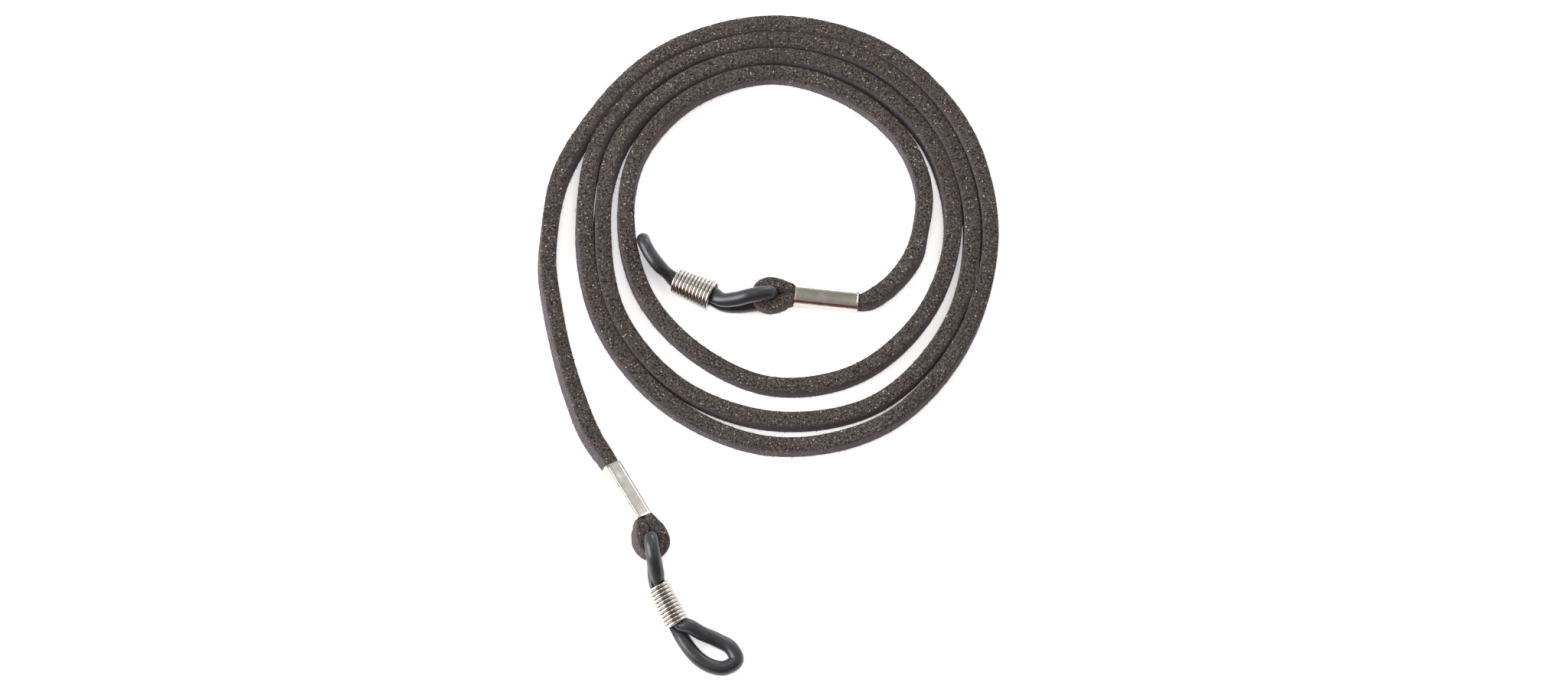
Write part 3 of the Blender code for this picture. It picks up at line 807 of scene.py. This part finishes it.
def carried_frames(ways):
    """Two directions across each ring of a closed tube, carried along it without twist and closed evenly."""
    start = np.cross(ways[0], UP if abs(ways[0][2]) < 0.9 else np.array((1.0, 0.0, 0.0)))
    first = [start / np.linalg.norm(start)]
    for way in ways[1:]:
        kept = first[-1] - way * np.dot(first[-1], way)
        first.append(kept / np.linalg.norm(kept))
    first = np.array(first)
    second = np.cross(ways, first)
    off = math.atan2(np.dot(first[-1], second[0]), np.dot(first[-1], first[0]))
    angles = -off * np.linspace(0.0, 1.0, len(ways))[:, None]
    turned = first * np.cos(angles) + second * np.sin(angles)
    return turned, np.cross(ways, turned)


for which, end in ENDS.items():
    line = smooth_rows(rubber_rows(which, end), RUBBER_RING, closed=True)
    line[:, 3:] = np.minimum(line[:, 3:], max(RUBBER_RADIUS, end["strand"][0][1], end["strand"][1][1]))
    line[:, 2] = np.maximum(line[:, 2], RUBBER_RADIUS + TABLE_GAP)
    ways = tangents(line[:, :3], closed=True)
    first, second = carried_frames(ways)
    angles = np.linspace(0.0, 2 * math.pi, RUBBER_SIDES, endpoint=False)
    rays = first[:, None] * np.cos(angles)[None, :, None] + second[:, None] * np.sin(angles)[None, :, None]
    towards = (rays @ end["pair"])[..., None] * end["pair"]
    places = line[:, None, :3] + towards * line[:, None, 3:4] + (rays - towards) * line[:, None, 4:5]
    loop_length = (len(line) - 1) * RUBBER_RING
    rubber = rolled_tube(
        f"rubber_ring_{which}",
        places + SPIRAL_CENTRE,
        closed=True,
        flat_size=(loop_length, math.pi * RUBBER_DIAMETER),
    )
    rubber.data.materials.append(black_rubber)
    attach(rubber, f"{which}_loop")
    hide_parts(f"rubber_loop_{which}")
    if end["legs_beside"]:
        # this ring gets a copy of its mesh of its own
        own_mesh(rubber)

# ---------------------------------------------------------------------------------------------------
# The springs are close-wound from round spring wire, nickel-plated, and wider at one end than at the other,
# where the rubber fills them more. Each holds both strands of its loop and slides along them.

SPRING_WIRE = 0.56
SPRING_TURNS = 10.5
STEPS_PER_TURN = 36
SPUN_RADIUS = 2.0  # of the coil as it is spun, before each end gets its own
ENDS["inner"]["spring_diameters"] = (5.2, 4.2)
ENDS["outer"]["spring_diameters"] = (3.75, 4.3)

spring_wire = nickel_plate("nickel_plated_wire", 0.14, 0.15)

for which, end in ENDS.items():
    wire = bmesh.new()
    upright = Matrix.Translation((SPUN_RADIUS, 0.0, 0.0)) @ Matrix.Rotation(math.radians(90), 4, "X")
    bmesh.ops.create_circle(wire, cap_ends=True, segments=12, radius=SPRING_WIRE / 2, matrix=upright)
    steps = round(SPRING_TURNS * STEPS_PER_TURN)
    bmesh.ops.spin(
        wire,
        geom=wire.verts[:] + wire.edges[:] + wire.faces[:],
        cent=(0.0, 0.0, 0.0),
        axis=(0.0, 0.0, 1.0),
        dvec=(0.0, 0.0, SPRING_LENGTH / steps),
        angle=2 * math.pi * SPRING_TURNS,
        steps=steps,
        use_merge=False,
        use_duplicate=False,
    )
    first, last = (diameter / 2 - SPRING_WIRE / 2 for diameter in end["spring_diameters"])
    for vert in wire.verts:
        share = min(max(vert.co.z / SPRING_LENGTH, 0.0), 1.0)
        radius = math.hypot(vert.co.x, vert.co.y)
        wanted = radius - SPUN_RADIUS + first + (last - first) * share
        vert.co.x *= wanted / radius
        vert.co.y *= wanted / radius
    bmesh.ops.recalc_face_normals(wire, faces=wire.faces[:])
    turned = Vector(end["spring_along"]).to_track_quat("Z", "Y").to_matrix().to_4x4()
    start = Vector(end["spring_start"] + SPIRAL_CENTRE)
    wire.transform(Matrix.Scale(MM, 4) @ Matrix.Translation(start) @ turned)
    mesh = bpy.data.meshes.new(f"spring_coil_{which}")
    wire.to_mesh(mesh)
    wire.free()
    mesh.shade_smooth()
    mesh.materials.append(spring_wire)
    spring = bpy.data.objects.new(mesh.name, mesh)
    bpy.context.scene.collection.objects.link(spring)
    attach(spring, f"{which}_spring")
    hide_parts(f"coil_spring_{which}")

# ---------------------------------------------------------------------------------------------------
# The strap lies on a white light table, so its shadows stay faint. A large soft window is on the left, a
# smaller one and a small lamp are behind, a soft ceiling fills in, and a dull red wall across the front shows
# in the metal.

bpy.ops.mesh.primitive_plane_add(size=4.0)
table = bpy.context.object
table.name = "light_table"
light_table, table_shader = new_material("lit_white_acrylic")
table_shader.inputs["Base Color"].default_value = linear("f2f2f2")
table_shader.inputs["Roughness"].default_value = 0.8
table_shader.inputs["Specular IOR Level"].default_value = 0.0
table_shader.inputs["Emission Color"].default_value = linear("ffffff")
table_shader.inputs["Emission Strength"].default_value = 0.38
table.data.materials.append(light_table)

room = bpy.data.worlds.new("bright_room")
bpy.context.scene.world = room
room.use_nodes = True
backdrop = room.node_tree.nodes["Background"]
towards = add_node(room, "ShaderNodeTexCoord", {}, {})
parts = add_node(room, "ShaderNodeSeparateXYZ", {}, {"Vector": towards.outputs["Generated"]})
sky = add_node(room, "ShaderNodeValToRGB", {}, {"Fac": parts.outputs["Z"]})
sky.color_ramp.elements[0].color = linear("ffffff")
sky.color_ramp.elements[1].color = linear("9a978d")
sky.color_ramp.elements.new(0.72).color = linear("f4f2ee")
sky.color_ramp.elements.new(0.9).color = linear("c0bdb4")
front = add_node(
    room,
    "ShaderNodeMapRange",
    {"interpolation_type": "SMOOTHSTEP"},
    {"Value": parts.outputs["Y"], "From Min": -0.2, "From Max": -0.45},
)
low = add_node(
    room,
    "ShaderNodeMapRange",
    {"interpolation_type": "SMOOTHSTEP"},
    {"Value": parts.outputs["Z"], "From Min": 0.93, "From Max": 0.8},
)
on_wall = add_node(
    room, "ShaderNodeMath", {"operation": "MULTIPLY"}, {0: front.outputs["Result"], 1: low.outputs["Result"]}
)
walls = add_node(
    room,
    "ShaderNodeMix",
    {"data_type": "RGBA"},
    {"Factor": on_wall.outputs["Value"], "A": sky.outputs["Color"], "B": linear("7a4444")},
)
seen = add_node(room, "ShaderNodeLightPath", {}, {}).outputs["Is Camera Ray"]
shown = add_node(
    room,
    "ShaderNodeMix",
    {"data_type": "RGBA"},
    {"Factor": seen, "A": walls.outputs["Result"], "B": linear("ffffff")},
)
room.node_tree.links.new(shown.outputs["Result"], backdrop.inputs["Color"])


def add_softbox(name, towards, distance, size, power):
    """A square soft light that faces the middle of the table."""
    data = bpy.data.lights.new(name, "AREA")
    data.shape = "SQUARE"
    data.size = size
    data.energy = power
    light = bpy.data.objects.new(name, data)
    bpy.context.scene.collection.objects.link(light)
    way = Vector(towards).normalized()
    light.location = CAMERA_TARGET + way * distance
    light.rotation_euler = way.to_track_quat("Z", "Y").to_euler()
    return light


add_softbox("window_left", (-0.83, -0.04, 0.45), 1.0, 0.8, 14.0)
add_softbox("window_behind", (0.35, 0.9, 0.3), 1.1, 0.55, 3.5)
add_softbox("small_lamp", (-0.15, 0.42, 0.9), 1.2, 0.2, 1.0)
ceiling = add_softbox("ceiling", (0.15, -0.1, 1.0), 1.2, 0.9, 7.0)
ceiling.visible_glossy = False
bpy.context.scene.view_settings.view_transform = "Standard"
